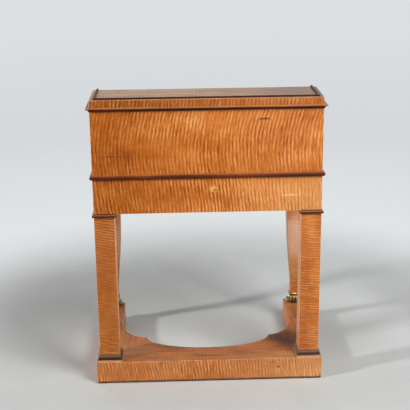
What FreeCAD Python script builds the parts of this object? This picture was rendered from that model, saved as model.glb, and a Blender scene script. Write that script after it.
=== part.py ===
"""Stepped writing desk in curly maple with dark mouldings.

Frame: +Z up, the front faces -Y, the back +Y. The origin is on the floor, under the
centre of the desk's box. All sizes are in millimetres.
"""
import FreeCAD, Part
import os
import re

import Sketcher

Vector = FreeCAD.Vector
Rotation = FreeCAD.Rotation

doc = FreeCAD.newDocument("stepped_desk")
sheet = doc.addObject("Spreadsheet::Sheet", "Dimensions")

SIZES = {
    # Carcass as a whole
    "body_width": 760,
    "body_depth": 510,
    "base_overhang": 12,
    # Base on the floor: two side rails and a scalloped rear rail
    "pad_height": 5,
    "pad_size": 44,
    "pad_inset": 3,
    "rail_height": 76,
    "rail_width": 76,
    "rear_rail_depth": 104,
    "scallop_width": 444,
    "scallop_depth": 96,
    "corner_sweep": 140,
    # Rear pilasters and the mouldings round their feet
    "pilaster_width": 68,
    "pilaster_depth": 64,
    "pilaster_height": 535.5,
    "plinth_height": 32,
    "plinth_band": 8,
    "plinth_projection": 9,
    "plinth_cove": 2.1,
    # Capital mouldings, below the apron with a low lip up its face
    "capital_drop": 10.5,
    "capital_rise": 2,
    "capital_band": 6.5,
    "capital_projection": 6,
    "capital_cove": 1,
    "moulding_edge": 0.8,
    # Front console legs, from the head under the apron down to the ankle
    "leg_head_depth": 80,
    "leg_head_height": 30,
    "leg_waist_height": 400,
    "leg_waist_width": 62,
    "leg_waist_depth": 53,
    "leg_waist_setback": 11,
    "leg_hock_height": 254,
    "leg_hock_width": 58,
    "leg_hock_depth": 45,
    "leg_hock_setback": 42,
    "leg_shin_height": 144,
    "leg_shin_width": 48,
    "leg_shin_depth": 37,
    "leg_shin_setback": 29,
    "leg_ankle_width": 43,
    "leg_ankle_depth": 32,
    "leg_ankle_setback": 7,
    # Cast feet below the front legs
    "foot_height": 45,
    "foot_collar_height": 8,
    "foot_collar_projection": 4,
    "foot_throat_height": 26,
    "foot_throat_flare": 7,
    "foot_throat_outer_flare": 3.5,
    "foot_inner_flare": 20,
    "foot_outer_flare": 7,
    "foot_heel_flare": 3,
    "foot_heel_setback": 25,
    "foot_toe_reach": 9,
    "toe_height": 25,
    "toe_lip": 7,
    "toe_round": 4,
    "toe_length": 14,
    "toe_groove": 2.4,
    # Apron with the frieze drawer
    "apron_height": 118,
    "apron_panel": 20,
    "apron_stile": 80,
    "apron_rail": 15.5,
    "runner_reach": 22,
    "guide_width": 20,
    "guide_height": 18,
    # Writing top
    "top_thickness": 16,
    "lip_projection": 8.5,
    "lip_flat": 1,
    "leather_margin": 42,
    "leather_back_margin": 21,
    "leather_thickness": 1.5,
    # Gradin, the step at the back of the writing top
    "gradin_depth": 190,
    "gradin_height": 211,
    "gradin_back": 14,
    "gradin_side": 16,
    "partition_thickness": 14,
    "shelf_thickness": 12,
    "niche_width": 236,
    # Attic above the drawers, with its cornice and raised rim
    "attic_height": 37.5,
    "cornice_height": 13.5,
    "cornice_projection": 12,
    "cornice_foot": 1.5,
    "cornice_nose": 2,
    "cornice_slope": 2,
    "cornice_cove": 2.2,
    "rim_inset": 12,
    "rim_width": 8,
    "rim_height": 5.5,
    "rim_round": 2.2,
    # Drawers
    "drawer_gap": 0.8,
    "running_clearance": 0.4,
    "front_thickness": 18,
    "frieze_drawer_length": 420,
    "frieze_side": 11,
    "small_drawer_length": 160,
    "small_side": 8,
    "side_drop": 14,
    "bottom_thickness": 6,
    "bottom_rise": 7,
    "groove_depth": 4,
    # Turned knobs
    "knob_projection": 20,
    "knob_diameter": 22,
    "knob_neck": 9,
    "knob_rose": 14,
    "knob_rose_height": 3,
    "knob_head_height": 6,
    "frieze_knob_spacing": 320,
}

for line, (alias, size) in enumerate(SIZES.items(), start=1):
    sheet.set(f"A{line}", alias)
    sheet.set(f"B{line}", str(size))
    sheet.setAlias(f"B{line}", alias)
doc.recompute()

# Levels and faces of the carcass, as expressions of the sizes above
BASE_TOP = "(pad_height + rail_height)"
APRON_LOW = f"({BASE_TOP} + pilaster_height)"
APRON_TOP = f"({APRON_LOW} + apron_height)"
DESK_TOP = f"({APRON_TOP} + top_thickness)"
GRADIN_TOP = f"({DESK_TOP} + gradin_height)"
ATTIC_TOP = f"({GRADIN_TOP} + attic_height)"
SIDE = "(body_width / 2)"
BACK = "((body_depth + knob_projection - base_overhang) / 2)"
FRONT = f"({BACK} - body_depth)"
BASE_SIDE = f"({SIDE} + base_overhang)"
BASE_BACK = f"({BACK} + base_overhang)"
BASE_FRONT = f"({FRONT} - base_overhang)"
GRADIN_FRONT = f"({BACK} - gradin_depth)"

pieces = []


def bound(text):
    """The expression with each size name pointing at its cell."""
    def cell(match):
        word = match.group(0)
        return f"Dimensions.{word}" if word in SIZES else word
    return re.sub(r"[a-z_]+", cell, text)


def value(text):
    """The number that an expression gives with the present sizes."""
    return float(sheet.evalExpression(bound(text)))


def keep(piece, label):
    """Take an object into the desk under its piece name."""
    piece.Label = label
    pieces.append(piece)
    return piece


def place(piece, x, y, z, angle=0):
    """Put an object at a bound position, turned about Z."""
    piece.Placement = FreeCAD.Placement(Vector(), Rotation(Vector(0, 0, 1), angle))
    for axis, text in (("x", x), ("y", y), ("z", z)):
        piece.setExpression(f"Placement.Base.{axis}", bound(text))
    return piece


def block(name, x, y, z):
    """A square-edged board between two bound limits along each axis."""
    board = doc.addObject("Part::Box", name)
    for side, (low, high) in (("Length", x), ("Width", y), ("Height", z)):
        board.setExpression(side, bound(f"({high}) - ({low})"))
    return place(board, x[0], y[0], z[0])


def board(label, x, y, z):
    """A plain board that is a piece by itself."""
    return keep(block(label, x, y, z), label)


def cut(name, base, *tools):
    """One object less the others."""
    tool = tools[0]
    if len(tools) > 1:
        tool = doc.addObject("Part::MultiFuse", f"{name}_tools")
        tool.Shapes = list(tools)
    result = doc.addObject("Part::Cut", name)
    result.Base = base
    result.Tool = tool
    return result


def group(label, members):
    """Separate solids that share one node."""
    result = doc.addObject("Part::Compound", label)
    result.Links = members
    return keep(result, label)


def plane(body, role):
    """One of a body's own origin planes."""
    return next(item for item in body.Origin.OriginFeatures if item.Role == role)


def new_sketch(body, name, role, lift=None):
    """An empty sketch on an origin plane of its body, lifted along that plane's normal."""
    sketch = body.newObject("Sketcher::SketchObject", name)
    sketch.AttachmentSupport = [(plane(body, role), "")]
    sketch.MapMode = "FlatFace"
    if lift is not None:
        sketch.setExpression("AttachmentOffset.Base.z", bound(lift))
    return sketch


def outline(sketch, corners):
    """Draw a closed outline whose corners are bound to the sizes.

    A corner is (x, y), or (x, y, bulge) where the side that follows it is an arc standing
    out by that much on the right of the way from this corner to the next.
    """
    sides = []
    count = len(corners)
    for number, corner in enumerate(corners):
        following = corners[(number + 1) % count]
        start = Vector(value(corner[0]), value(corner[1]))
        end = Vector(value(following[0]), value(following[1]))
        if len(corner) == 2:
            sides.append((sketch.addGeometry(Part.LineSegment(start, end)), 1, 2))
            continue
        chord = end - start
        out = Vector(chord.y, -chord.x).normalize()
        middle = (start + end) * 0.5 + out * value(corner[2])
        centre = Part.ArcOfCircle(start, middle, end).Center
        circle = Part.Circle(centre, Vector(0, 0, 1), centre.distanceToPoint(start))
        first, last = (1, 2) if value(corner[2]) > 0 else (2, 1)
        ends = (start, end) if first == 1 else (end, start)
        arc = Part.ArcOfCircle(circle, *(circle.parameter(point) for point in ends))
        sides.append((sketch.addGeometry(arc), first, last))
    for number, (side, first, last) in enumerate(sides):
        corner = corners[number]
        following = corners[(number + 1) % count]
        next_side, next_first, _ = sides[(number + 1) % count]
        sketch.addConstraint(Sketcher.Constraint("Coincident", side, last, next_side, next_first))
        for kind, text in (("DistanceX", corner[0]), ("DistanceY", corner[1])):
            index = sketch.addConstraint(
                Sketcher.Constraint(kind, -1, 1, side, first, value(text)))
            sketch.setExpression(f"Constraints[{index}]", bound(text))
        if len(corner) == 3:
            run = f"(({following[0]}) - ({corner[0]}))"
            rise = f"(({following[1]}) - ({corner[1]}))"
            bulge = f"abs({corner[2]})"
            radius = f"({run}^2 + {rise}^2) / (8 * {bulge}) + {bulge} / 2"
            index = sketch.addConstraint(Sketcher.Constraint("Radius", side, value(radius)))
            sketch.setExpression(f"Constraints[{index}]", bound(radius))


def pad(body, sketch, length):
    """Thicken a sketch by the same amount to both sides of its plane."""
    feature = body.newObject("PartDesign::Pad", f"{sketch.Name}_pad")
    feature.Profile = sketch
    feature.Midplane = True
    feature.setExpression("Length", bound(length))
    return feature


def moulding(name, profile, face_length, projection, position, angle, mitres=(True, True)):
    """A strip of moulding with its back on a face, mitred at its ends.

    The profile stands in (outward, up). The strip runs along X before it is turned about Z.
    """
    body = doc.addObject("PartDesign::Body", name)
    across = new_sketch(body, f"{name}_across", "YZ_Plane")
    outline(across, profile)
    pad(body, across, f"({face_length} + 2 * {projection})")
    ends = new_sketch(body, f"{name}_ends", "XY_Plane")
    behind = f"-{projection}"
    beyond = f"2 * {projection}"
    for sign, mitred in (("-", mitres[0]), ("", mitres[1])):
        far = f"{sign}({face_length} / 2 + {beyond})"
        if mitred:
            near = f"{sign}({face_length} / 2 - {projection})"
            outline(ends, [(near, behind), (far, behind), (far, beyond)])
        else:
            square = f"{sign}({face_length} / 2)"
            outline(ends, [(square, behind), (far, behind), (far, beyond), (square, beyond)])
    mitre = body.newObject("PartDesign::Pocket", f"{name}_mitre")
    mitre.Profile = ends
    mitre.Midplane = True
    mitre.Type = "ThroughAll"
    place(body, *position, angle)
    return body


def coved(height, band, projection, cove):
    """Profile of a band with a hollow running up from it to the face."""
    return [("0", "0"), (projection, "0"), (projection, band, f"-{cove}"),
            ("moulding_edge", height), ("0", height)]


def four_sides(name, centre_x, centre_y, width, depth, level, strips):
    """Mouldings round a rectangular post; strips gives each side's profile and projection."""
    sides = {
        "back": (width, (centre_x, f"{centre_y} + {depth} / 2", level), 0),
        "left": (depth, (f"{centre_x} - {width} / 2", centre_y, level), 90),
        "front": (width, (centre_x, f"{centre_y} - {depth} / 2", level), 180),
        "right": (depth, (f"{centre_x} + {width} / 2", centre_y, level), 270),
    }
    result = []
    for side, (length, position, angle) in sides.items():
        profile, projection = strips[side]
        result.append(moulding(f"{name}_{side}", profile, length, projection, position, angle))
    return result


def outward(sign, inner, outer):
    """Limits along X on the left or the right of the desk, lower first."""
    return (inner, outer) if sign == "" else (f"-({outer})", f"-({inner})")


def ellipse_prism(name, half_x, half_y, centre_x, centre_y, height):
    """A prism from the floor up over an ellipse, whichever of its half axes is the longer."""
    ring = doc.addObject("Part::Ellipse", f"{name}_ring")
    ring.MajorRadius = max(value(half_x), value(half_y))
    ring.MinorRadius = min(value(half_x), value(half_y))
    ring.setExpression("MajorRadius", bound(f"max({half_x}; {half_y})"))
    ring.setExpression("MinorRadius", bound(f"min({half_x}; {half_y})"))
    place(ring, centre_x, centre_y, "0")
    ring.setExpression("Placement.Rotation.Angle", bound(f"({half_x}) >= ({half_y}) ? 0 : 90"))
    prism = doc.addObject("Part::Extrusion", name)
    prism.Base = ring
    prism.DirMode = "Custom"
    prism.Dir = Vector(0, 0, 1)
    prism.Solid = True
    prism.setExpression("LengthFwd", bound(height))
    return prism


# Base: side rails butted against a rear rail whose front edge is scalloped
rail_in = f"({BASE_SIDE} - rail_width)"
apex = f"({BASE_BACK} - rear_rail_depth)"
nib = f"({apex} - scallop_depth)"
rail_joint = f"({nib} - corner_sweep)"
nib_side = "(scallop_width / 2)"
rail_levels = ("pad_height", BASE_TOP)
cut_top = f"({BASE_TOP} + pad_height)"
rear_stock = block("rear_rail_stock", (f"-{BASE_SIDE}", BASE_SIDE), (rail_joint, BASE_BACK), rail_levels)
scallop = ellipse_prism("scallop", nib_side, "scallop_depth", "0", nib, cut_top)
bay = block("rear_rail_bay", (f"-{nib_side}", nib_side), (f"{rail_joint} - corner_sweep", nib),
            ("0", cut_top))
corner_sweeps = [ellipse_prism(f"corner_sweep_{side}", f"{rail_in} - {nib_side}", "corner_sweep",
                               f"{sign}{nib_side}", rail_joint, cut_top)
                 for side, sign in (("left", "-"), ("right", ""))]
keep(cut("rear_rail", rear_stock, scallop, bay, *corner_sweeps), "base_rear_rail")
board("base_left_rail", (f"-{BASE_SIDE}", f"-{rail_in}"), (BASE_FRONT, rail_joint), rail_levels)
board("base_right_rail", (rail_in, BASE_SIDE), (BASE_FRONT, rail_joint), rail_levels)

# Low pads under the four corners of the base
pad_out = f"({BASE_SIDE} - pad_inset)"
pad_rows = {"rear": f"({BASE_BACK} - pad_inset - pad_size)", "front": f"({BASE_FRONT} + pad_inset)"}
pads = []
for pad_row, near in pad_rows.items():
    for side, sign in (("left", "-"), ("right", "")):
        pads.append(block(f"pad_{pad_row}_{side}", outward(sign, f"{pad_out} - pad_size", pad_out),
                          (near, f"{near} + pad_size"), ("0", "pad_height")))
group("floor_pads", pads)

# Rear pilasters with a coved moulding round each foot
plinth = (coved("plinth_height", "plinth_band", "plinth_projection", "plinth_cove"), "plinth_projection")
pilaster_in = f"({SIDE} - pilaster_width)"
pilaster_y = f"({BACK} - pilaster_depth / 2)"
pilaster_x = f"({SIDE} - pilaster_width / 2)"
for side, sign in (("left", "-"), ("right", "")):
    board(f"rear_pilaster_{side}", outward(sign, pilaster_in, SIDE), (f"{BACK} - pilaster_depth", BACK),
          (BASE_TOP, APRON_LOW))
    group(f"plinth_moulding_{side}",
          four_sides(f"plinth_{side}", f"{sign}{pilaster_x}", pilaster_y, "pilaster_width", "pilaster_depth",
                     BASE_TOP, dict.fromkeys(("back", "left", "front", "right"), plinth)))

# Capitals: tall strips on the outer faces, short ones tucked under the apron
capital_height = "(capital_drop + capital_rise)"
tall = (coved(capital_height, "capital_band", "capital_projection", "capital_cove"), "capital_projection")
short = ([("0", "0"), ("capital_projection", "0"), ("capital_projection", "capital_drop"),
          ("0", "capital_drop")], "capital_projection")
capital_level = f"({APRON_LOW} - capital_drop)"
for post, facing, depth in (("rear", "back", "pilaster_depth"), ("front", "front", "leg_head_depth")):
    middle = f"({BACK} - {depth} / 2)" if post == "rear" else f"({FRONT} + {depth} / 2)"
    for side, sign in (("left", "-"), ("right", "")):
        strips = dict.fromkeys(("back", "left", "front", "right"), short)
        strips[facing] = tall
        strips[side] = tall
        group(f"{post}_capital_{side}",
              four_sides(f"{post}_capital_strip_{side}", f"{sign}{pilaster_x}", middle, "pilaster_width",
                         depth, capital_level, strips))


def section(body, name, level, x, y, back_x=None):
    """A section of a loft at a level, between bound limits; back_x limits its back edge where it tapers."""
    far = back_x or x
    sketch = new_sketch(body, name, "XY_Plane", level)
    outline(sketch, [(x[0], y[0]), (x[1], y[0]), (far[1], y[1]), (far[0], y[1])])
    return sketch


def loft(body, name, sections):
    """A smooth skin through sections from first to last."""
    feature = body.newObject("PartDesign::AdditiveLoft", name)
    feature.Profile = sections[0]
    feature.Sections = sections[1:]
    feature.Ruled = False
    return feature


# Front legs: a square head, then an S-shaped console lofted down to the ankle
def leg_section(body, side, sign, station, level):
    """Section of a leg at one of its named stations, flush with the desk's side."""
    x = outward(sign, f"{SIDE} - leg_{station}_width", SIDE)
    near = f"{FRONT} + leg_{station}_setback"
    return section(body, f"leg_{side}_{station}", level, x, (near, f"{near} + leg_{station}_depth"))


head_level = f"({APRON_LOW} - leg_head_height)"
ankle_level = f"({BASE_TOP} + foot_height)"
for side, sign in (("left", "-"), ("right", "")):
    leg = doc.addObject("PartDesign::Body", f"leg_{side}")
    head_x = outward(sign, pilaster_in, SIDE)
    head_y = (FRONT, f"{FRONT} + leg_head_depth")
    head = section(leg, f"leg_{side}_head", head_level, head_x, head_y)
    stations = [head]
    for station in ("waist", "hock", "shin"):
        stations.append(leg_section(leg, side, sign, station, f"({BASE_TOP} + leg_{station}_height)"))
    stations.append(leg_section(leg, side, sign, "ankle", ankle_level))
    loft(leg, f"leg_{side}_console", stations)
    cap = section(leg, f"leg_{side}_cap", head_level, head_x, head_y)
    block_pad = leg.newObject("PartDesign::Pad", f"leg_{side}_block")
    block_pad.Profile = cap
    block_pad.setExpression("Length", bound("leg_head_height"))
    keep(leg, f"front_leg_{side}")

# Cast feet: a collar under the ankle, a foot that spreads from a narrow heel, and rounded toes in front
toe_count = 4
ankle_in = f"({SIDE} - leg_ankle_width)"
sole_in = f"({ankle_in} - foot_inner_flare)"
sole_out = f"({SIDE} + foot_outer_flare)"
throat_in = f"({ankle_in} - foot_throat_flare)"
throat_out = f"({SIDE} + foot_throat_outer_flare)"
heel = (f"({ankle_in} - foot_heel_flare)", f"({SIDE} + foot_heel_flare)")
ankle_y = (f"({FRONT} + leg_ankle_setback)", f"({FRONT} + leg_ankle_setback + leg_ankle_depth)")
sole_y = (f"({FRONT} - foot_toe_reach)", f"({FRONT} + foot_heel_setback)")
throat_y = tuple(f"({ankle} + {sole}) / 2" for ankle, sole in zip(ankle_y, sole_y))
collar_level = f"({ankle_level} - foot_collar_height)"
toe_back = f"({sole_y[0]} + toe_length)"
toe_pitch = f"(({sole_out} - {sole_in}) / {toe_count})"
for side, sign in (("left", "-"), ("right", "")):
    foot = doc.addObject("PartDesign::Body", f"foot_{side}")
    spread = loft(foot, f"foot_{side}_spread", [
        section(foot, f"foot_{side}_sole", BASE_TOP, outward(sign, sole_in, sole_out), (toe_back, sole_y[1]),
                outward(sign, *heel)),
        section(foot, f"foot_{side}_throat", f"({BASE_TOP} + foot_throat_height)",
                outward(sign, throat_in, throat_out), throat_y, outward(sign, ankle_in, SIDE)),
        section(foot, f"foot_{side}_neck", collar_level, outward(sign, ankle_in, SIDE), ankle_y)])
    spread.Ruled = True
    proud = "foot_collar_projection"
    collar = section(foot, f"foot_{side}_collar", collar_level,
                     outward(sign, f"{ankle_in} - {proud}", f"{SIDE} + {proud}"),
                     (f"{ankle_y[0]} - {proud}", f"{ankle_y[1]} + {proud}"))
    band = foot.newObject("PartDesign::Pad", f"foot_{side}_band")
    band.Profile = collar
    band.setExpression("Length", bound("foot_collar_height"))
    toes = new_sketch(foot, f"foot_{side}_toes", "YZ_Plane", f"{sign}({sole_in} + {sole_out}) / 2")
    outline(toes, [(sole_y[0], BASE_TOP), (toe_back, BASE_TOP),
                   (toe_back, f"{BASE_TOP} + toe_height", "toe_round"), (sole_y[0], f"{BASE_TOP} + toe_lip")])
    pad(foot, toes, f"{sole_out} - {sole_in}")
    parting = new_sketch(foot, f"foot_{side}_parting", "XY_Plane")
    for number in range(1, toe_count):
        middle = f"{sign}({sole_in} + {toe_pitch} * {number})"
        outline(parting, [(f"{middle} - toe_groove / 2", f"{sole_y[0]} - toe_length"),
                          (f"{middle} + toe_groove / 2", f"{sole_y[0]} - toe_length"),
                          (f"{middle} + toe_groove / 2", toe_back), (f"{middle} - toe_groove / 2", toe_back)])
    grooves = foot.newObject("PartDesign::Pocket", f"foot_{side}_grooves")
    grooves.Profile = parting
    grooves.Midplane = True
    grooves.Type = "ThroughAll"
    keep(foot, f"front_foot_{side}")

# Apron: back panel, sides, front stiles and a rail under the frieze drawer
apron_levels = (APRON_LOW, APRON_TOP)
inner_back = f"({BACK} - apron_panel)"
inner_front = f"({FRONT} + apron_panel)"
inner_side = f"({SIDE} - apron_panel)"
stile_in = f"({SIDE} - apron_stile)"
drawer_floor = f"({APRON_LOW} + apron_rail)"
board("apron_back_panel", (f"-{SIDE}", SIDE), (inner_back, BACK), apron_levels)
board("apron_left_side", (f"-{SIDE}", f"-{inner_side}"), (inner_front, inner_back), apron_levels)
board("apron_right_side", (inner_side, SIDE), (inner_front, inner_back), apron_levels)
board("apron_left_stile", (f"-{SIDE}", f"-{stile_in}"), (FRONT, inner_front), apron_levels)
board("apron_right_stile", (stile_in, SIDE), (FRONT, inner_front), apron_levels)
board("apron_front_rail", (f"-{stile_in}", stile_in), (FRONT, inner_front), (APRON_LOW, drawer_floor))

# Runners: a strip under each drawer side, screwed to the apron side, with a guide glued on it
guide_out = f"({stile_in} + guide_width)"
for side, sign in (("left", "-"), ("right", "")):
    strip = block(f"runner_{side}", outward(sign, f"{stile_in} - runner_reach", inner_side),
                  (inner_front, inner_back), (APRON_LOW, drawer_floor))
    guide = block(f"guide_{side}", outward(sign, stile_in, guide_out), (inner_front, inner_back),
                  (drawer_floor, f"{drawer_floor} + guide_height"))
    group(f"drawer_runner_{side}", [strip, guide])

# Writing top with a half-round moulding on its four edges and a leather let into it
leather_x = (f"-({SIDE} - leather_margin)", f"{SIDE} - leather_margin")
leather_y = (f"{FRONT} + leather_margin", f"{GRADIN_FRONT} - leather_back_margin")
leather_z = (f"{DESK_TOP} - leather_thickness", DESK_TOP)
top_stock = block("top_stock", (f"-{SIDE}", SIDE), (FRONT, BACK), (APRON_TOP, DESK_TOP))
recess = block("leather_recess", leather_x, leather_y, (leather_z[0], f"{DESK_TOP} + leather_thickness"))
keep(cut("top_board", top_stock, recess), "writing_top")
board("writing_leather", leather_x, leather_y, leather_z)
half_round = [("0", "0"), ("lip_flat", "0", "lip_projection - lip_flat"), ("lip_flat", "top_thickness"),
              ("0", "top_thickness")]
group("writing_top_moulding",
      four_sides("top_lip", "0", f"({BACK} + {FRONT}) / 2", "body_width", "body_depth", APRON_TOP,
                 dict.fromkeys(("back", "left", "front", "right"), (half_round, "lip_projection"))))

# Gradin: back, sides, two partitions round an open niche, shelves between the drawers
gradin_levels = (DESK_TOP, GRADIN_TOP)
gradin_inner_back = f"({BACK} - gradin_back)"
gradin_inner_side = f"({SIDE} - gradin_side)"
niche_side = "(niche_width / 2)"
partition_out = f"({niche_side} + partition_thickness)"
gradin_run = (GRADIN_FRONT, gradin_inner_back)
shelf_low = f"({DESK_TOP} + (gradin_height - shelf_thickness) / 2)"
shelf_top = f"({shelf_low} + shelf_thickness)"
board("gradin_back_panel", (f"-{SIDE}", SIDE), (gradin_inner_back, BACK), gradin_levels)
board("gradin_left_side", (f"-{SIDE}", f"-{gradin_inner_side}"), gradin_run, gradin_levels)
board("gradin_right_side", (gradin_inner_side, SIDE), gradin_run, gradin_levels)
board("gradin_left_partition", (f"-{partition_out}", f"-{niche_side}"), gradin_run, gradin_levels)
board("gradin_right_partition", (niche_side, partition_out), gradin_run, gradin_levels)
board("gradin_left_shelf", (f"-{gradin_inner_side}", f"-{partition_out}"), gradin_run, (shelf_low, shelf_top))
board("gradin_right_shelf", (partition_out, gradin_inner_side), gradin_run, (shelf_low, shelf_top))

# Attic board over the gradin, the cornice round its foot and the low rim on its top
attic_y = f"({GRADIN_FRONT} + {BACK}) / 2"
board("gradin_attic", (f"-{SIDE}", SIDE), (GRADIN_FRONT, BACK), (GRADIN_TOP, ATTIC_TOP))
cornice_shoulder = "(cornice_height - cornice_slope)"
cornice_profile = [("0", "0"), ("cornice_foot", "0", "-cornice_cove"),
                   ("cornice_projection", f"{cornice_shoulder} - cornice_nose"),
                   ("cornice_projection", cornice_shoulder), ("0", "cornice_height")]
group("cornice_moulding",
      four_sides("cornice", "0", attic_y, "body_width", "gradin_depth", GRADIN_TOP,
                 dict.fromkeys(("back", "left", "front", "right"), (cornice_profile, "cornice_projection"))))
rim_shoulder = "(rim_height - rim_round)"
bead = [("0", "0"), ("rim_width", "0"), ("rim_width", rim_shoulder, "rim_round"), ("0", rim_shoulder)]
rim_back = f"({BACK} - rim_inset - rim_width)"
rim_side = f"({SIDE} - rim_inset - rim_width)"
rim_length = f"({rim_back} - {GRADIN_FRONT})"
rim_middle = f"({rim_back} + {GRADIN_FRONT}) / 2"
group("attic_rim", [
    moulding("rim_back", bead, f"2 * {rim_side}", "rim_width", ("0", rim_back, ATTIC_TOP), 0),
    moulding("rim_left", bead, rim_length, "rim_width", (f"-{rim_side}", rim_middle, ATTIC_TOP), 90,
             (False, True)),
    moulding("rim_right", bead, rim_length, "rim_width", (rim_side, rim_middle, ATTIC_TOP), 270,
             (True, False))])


def knob(name, x, y, z):
    """A turned knob with a flat rose, a neck and a flat head, standing out towards -Y."""
    body = doc.addObject("PartDesign::Body", name)
    half = new_sketch(body, f"{name}_half", "XY_Plane")
    head_back = "-(knob_projection - knob_head_height)"
    outline(half, [("0", "0"), ("knob_rose / 2", "0"), ("knob_rose / 2", "-knob_rose_height"),
                   ("knob_neck / 2", "-knob_rose_height"), ("knob_neck / 2", head_back),
                   ("knob_diameter / 2", head_back), ("knob_diameter / 2", "-knob_projection"),
                   ("0", "-knob_projection")])
    turned = body.newObject("PartDesign::Revolution", f"{name}_turned")
    turned.Profile = half
    turned.ReferenceAxis = (half, ["V_Axis"])
    turned.Angle = 360
    return place(body, x, y, z)


def drawer_parts(name, opening, face, length, side_thickness):
    """The front, two grooved sides, back and bottom of a drawer that fills an opening.

    opening gives the (left, right) and (floor, ceiling) of the hole that its front stands in.
    """
    (left, right), (floor, ceiling) = opening
    inset_left = f"({left} + drawer_gap)"
    inset_right = f"({right} - drawer_gap)"
    foot = f"({floor} + running_clearance)"
    front_back = f"({face} + front_thickness)"
    rear = f"({face} + {length})"
    rim = f"({ceiling} - side_drop)"
    panel_low = f"({foot} + bottom_rise)"
    panel_top = f"({panel_low} + bottom_thickness)"
    in_left = f"({inset_left} + {side_thickness})"
    in_right = f"({inset_right} - {side_thickness})"
    front = block(f"{name}_front", (inset_left, inset_right), (face, front_back),
                  (foot, f"{ceiling} - drawer_gap"))
    run = (front_back, rear)
    groove_z = (panel_low, panel_top)
    sides = []
    for hand, x, groove in (
            ("left", (inset_left, in_left), (f"{in_left} - groove_depth", f"{in_left} + groove_depth")),
            ("right", (in_right, inset_right), (f"{in_right} - groove_depth", f"{in_right} + groove_depth"))):
        stock = block(f"{name}_{hand}_stock", x, run, (foot, rim))
        slot = block(f"{name}_{hand}_groove", groove,
                     (f"{front_back} - groove_depth", f"{rear} + groove_depth"), groove_z)
        sides.append(cut(f"{name}_{hand}_side", stock, slot))
    back = block(f"{name}_back", (in_left, in_right), (f"{rear} - {side_thickness}", rear),
                 (panel_top, rim))
    bottom = block(f"{name}_bottom", (f"{in_left} - groove_depth", f"{in_right} + groove_depth"),
                   run, groove_z)
    return front, sides, back, bottom


# Frieze drawer, the full width of the apron between its stiles
frieze_opening = ((f"-{stile_in}", stile_in), (drawer_floor, APRON_TOP))
front, sides, back, bottom = drawer_parts("frieze", frieze_opening, FRONT, "frieze_drawer_length",
                                          "frieze_side")
keep(front, "frieze_drawer_front")
keep(sides[0], "frieze_drawer_left_side")
keep(sides[1], "frieze_drawer_right_side")
keep(back, "frieze_drawer_back")
keep(bottom, "frieze_drawer_bottom")
frieze_middle = f"({drawer_floor} + {APRON_TOP}) / 2"
group("frieze_drawer_knobs",
      [knob(f"frieze_knob_{side}", f"{sign}frieze_knob_spacing / 2", FRONT, frieze_middle)
       for side, sign in (("left", "-"), ("right", ""))])

# Small gradin drawers, two to each side of the niche
columns = {"left": (f"-{gradin_inner_side}", f"-{partition_out}"),
           "right": (partition_out, gradin_inner_side)}
tiers = {"lower": (DESK_TOP, shelf_low), "upper": (shelf_top, GRADIN_TOP)}
for tier, levels in tiers.items():
    for column, span in columns.items():
        name = f"{tier}_{column}_drawer"
        front, sides, back, bottom = drawer_parts(name, (span, levels), GRADIN_FRONT, "small_drawer_length",
                                                  "small_side")
        keep(front, f"{name}_front")
        group(f"{name}_case", [*sides, back])
        keep(bottom, f"{name}_bottom")
        keep(knob(f"{name}_turning", f"({span[0]} + {span[1]}) / 2", GRADIN_FRONT,
                  f"({levels[0]} + {levels[1]}) / 2"), f"{name}_knob")

doc.recompute()

faults = [item.Name for item in doc.Objects if "Invalid" in item.State or "Error" in item.State]
faults += [item.Label for item in pieces if item.Shape.isNull() or not item.Shape.isValid()]
if faults:
    raise RuntimeError("failed: " + ", ".join(faults))

os.makedirs("parts", exist_ok=True)
for piece in pieces:
    piece.Shape.exportStep(f"parts/{piece.Label}.step")
print(len(pieces), "pieces")
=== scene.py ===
import math

import bmesh
import bpy
from mathutils import Matrix, Vector


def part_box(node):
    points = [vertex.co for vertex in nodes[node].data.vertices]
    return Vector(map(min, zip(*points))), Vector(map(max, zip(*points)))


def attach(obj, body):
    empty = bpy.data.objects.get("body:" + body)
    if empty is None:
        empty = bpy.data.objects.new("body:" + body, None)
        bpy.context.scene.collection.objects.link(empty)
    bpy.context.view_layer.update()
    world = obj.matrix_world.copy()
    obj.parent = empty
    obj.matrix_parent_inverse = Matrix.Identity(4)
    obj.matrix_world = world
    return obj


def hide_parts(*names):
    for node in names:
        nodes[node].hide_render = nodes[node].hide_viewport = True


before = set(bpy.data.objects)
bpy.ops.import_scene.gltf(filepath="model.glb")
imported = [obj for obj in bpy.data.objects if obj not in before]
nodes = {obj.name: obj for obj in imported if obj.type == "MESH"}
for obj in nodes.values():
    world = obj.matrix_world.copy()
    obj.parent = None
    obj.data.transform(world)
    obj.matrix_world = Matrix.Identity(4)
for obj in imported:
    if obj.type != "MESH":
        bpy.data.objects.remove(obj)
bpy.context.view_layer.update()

# Base: two side rails butted against a scalloped rear rail, all veneered in curly maple with level
# grain. Its arrises are rubbed pale, its top is dull and a dark band runs along its foot. A dark
# patch on the top, beside one pilaster, is painted shadow that deepens the shadow there.


def tint(red, green, blue):
    """A colour as it looks on a screen, 0 to 255, on the shader's linear scale."""
    linear = []
    for part in (red / 255, green / 255, blue / 255):
        linear.append(part / 12.92 if part <= 0.04045 else ((part + 0.055) / 1.055) ** 2.4)
    return (*linear, 1)


def deepen(colour, share):
    """A colour made darker, or lighter with a share over one."""
    return (*[min(1, part * share) for part in colour[:3]], 1)


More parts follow.
